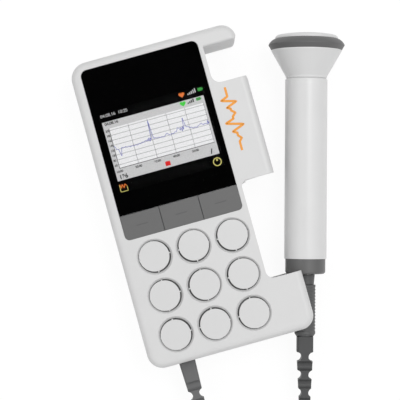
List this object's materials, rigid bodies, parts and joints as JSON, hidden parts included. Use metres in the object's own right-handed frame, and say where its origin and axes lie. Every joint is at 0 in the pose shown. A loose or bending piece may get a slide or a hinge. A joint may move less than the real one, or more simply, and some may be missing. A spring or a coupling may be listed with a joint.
{
  "type": "fetal doppler monitor",
  "caption": "Handheld fetal doppler: flat unit with screen and round keys, side dock for its probe, and a cylindrical ultrasound probe on a curly lead.",
  "frame": {"origin": "centre of the unit's back face, which lies on the table", "axes": "+X to the unit's right, +Y towards its top end, +Z out of its front face"},
  "size_m": [0.1376, 0.2994, 0.0342],
  "materials": {
    "white_plastic": "fine satin moulding",
    "grey_plastic": "fine satin moulding",
    "grey_rubber": "soft matte overmoulding",
    "cable_jacket": "soft matte jacket",
    "black_glass": "gloss",
    "sheet_steel": "plain rolled sheet",
    "clear_plastic": "polished",
    "screen_glass": "polished",
    "silicone": "matte",
    "circuit_board": "solder resist",
    "black_plastic": "matte",
    "cell_jacket": "printed film",
    "ceramic_crystal": "fired ceramic with silvered faces"
  },
  "bodies": {
    "unit": {"front_cover": "white_plastic", "rear_cover": "white_plastic", "display_window": "black_glass", "screen_frame": "sheet_steel", "screen_light_guide": "clear_plastic", "screen_panel": "screen_glass", "keypad_mat": "silicone", "main_board": "circuit_board", "board_chips": "black_plastic", "board_shield": "sheet_steel", "speaker_gasket": "silicone", "speaker_basket": "black_plastic", "speaker_cone": "black_plastic", "speaker_magnet": "sheet_steel", "battery_1": "cell_jacket", "battery_2": "cell_jacket", "contact_plates": "sheet_steel", "contact_springs": "sheet_steel", "case_screws": "sheet_steel", "headphone_jack": "grey_plastic", "lead_header": "black_plastic", "unit_strain_relief": "grey_rubber", "lead_unit_tail": "cable_jacket", "lead_curl": "cable_jacket", "lead_plug_tail": "cable_jacket", "plug_nose": "grey_rubber", "plug_barrel": "sheet_steel", "plug_grip": "grey_rubber", "plug_strain_relief": "grey_rubber"},
    "key_1_body": {"key_1": "white_plastic"},
    "key_2_body": {"key_2": "white_plastic"},
    "key_3_body": {"key_3": "white_plastic"},
    "key_4_body": {"key_4": "white_plastic"},
    "key_5_body": {"key_5": "white_plastic"},
    "key_6_body": {"key_6": "white_plastic"},
    "key_7_body": {"key_7": "white_plastic"},
    "key_8_body": {"key_8": "white_plastic"},
    "key_9_body": {"key_9": "white_plastic"},
    "soft_key_left_body": {"soft_key_left": "grey_plastic"},
    "soft_key_middle_body": {"soft_key_middle": "grey_plastic"},
    "soft_key_right_body": {"soft_key_right": "grey_plastic"},
    "battery_cover_body": {"battery_cover": "white_plastic"},
    "probe": {"probe_face": "white_plastic", "probe_collar": "grey_rubber", "probe_head": "white_plastic", "probe_handle": "white_plastic", "probe_cap": "grey_plastic", "cap_seal": "silicone", "probe_socket": "grey_plastic", "probe_board": "circuit_board", "probe_screen_tube": "sheet_steel", "crystal_carrier": "black_plastic", "crystals": "ceramic_crystal", "crystal_backing": "silicone"}
  },
  "joints": [
    {"name": "key_1_press", "type": "slide", "parent": "unit", "child": "key_1_body", "axis": [0, 0, -1], "range_m": [0, 0.0006], "stiffness_N_per_m": 1500, "springref_m": -0.0004},
    {"name": "key_2_press", "type": "slide", "parent": "unit", "child": "key_2_body", "axis": [0, 0, -1], "range_m": [0, 0.0006], "stiffness_N_per_m": 1500, "springref_m": -0.0004},
    {"name": "key_3_press", "type": "slide", "parent": "unit", "child": "key_3_body", "axis": [0, 0, -1], "range_m": [0, 0.0006], "stiffness_N_per_m": 1500, "springref_m": -0.0004},
    {"name": "key_4_press", "type": "slide", "parent": "unit", "child": "key_4_body", "axis": [0, 0, -1], "range_m": [0, 0.0006], "stiffness_N_per_m": 1500, "springref_m": -0.0004},
    {"name": "key_5_press", "type": "slide", "parent": "unit", "child": "key_5_body", "axis": [0, 0, -1], "range_m": [0, 0.0006], "stiffness_N_per_m": 1500, "springref_m": -0.0004},
    {"name": "key_6_press", "type": "slide", "parent": "unit", "child": "key_6_body", "axis": [0, 0, -1], "range_m": [0, 0.0006], "stiffness_N_per_m": 1500, "springref_m": -0.0004},
    {"name": "key_7_press", "type": "slide", "parent": "unit", "child": "key_7_body", "axis": [0, 0, -1], "range_m": [0, 0.0006], "stiffness_N_per_m": 1500, "springref_m": -0.0004},
    {"name": "key_8_press", "type": "slide", "parent": "unit", "child": "key_8_body", "axis": [0, 0, -1], "range_m": [0, 0.0006], "stiffness_N_per_m": 1500, "springref_m": -0.0004},
    {"name": "key_9_press", "type": "slide", "parent": "unit", "child": "key_9_body", "axis": [0, 0, -1], "range_m": [0, 0.0006], "stiffness_N_per_m": 1500, "springref_m": -0.0004},
    {"name": "soft_key_left_press", "type": "slide", "parent": "unit", "child": "soft_key_left_body", "axis": [0, 0, -1], "range_m": [0, 0.0006], "stiffness_N_per_m": 1500, "springref_m": -0.0004},
    {"name": "soft_key_middle_press", "type": "slide", "parent": "unit", "child": "soft_key_middle_body", "axis": [0, 0, -1], "range_m": [0, 0.0006], "stiffness_N_per_m": 1500, "springref_m": -0.0004},
    {"name": "soft_key_right_press", "type": "slide", "parent": "unit", "child": "soft_key_right_body", "axis": [0, 0, -1], "range_m": [0, 0.0006], "stiffness_N_per_m": 1500, "springref_m": -0.0004},
    {"name": "battery_cover_slide", "type": "slide", "parent": "unit", "child": "battery_cover_body", "axis": [0, -1, 0], "range_m": [0, 0.012]},
    {"name": "probe_unplug", "type": "slide", "parent": "unit", "child": "probe", "axis": [0.2733, 0.9614, 0.0308], "range_m": [0, 0.025]}
  ]
}
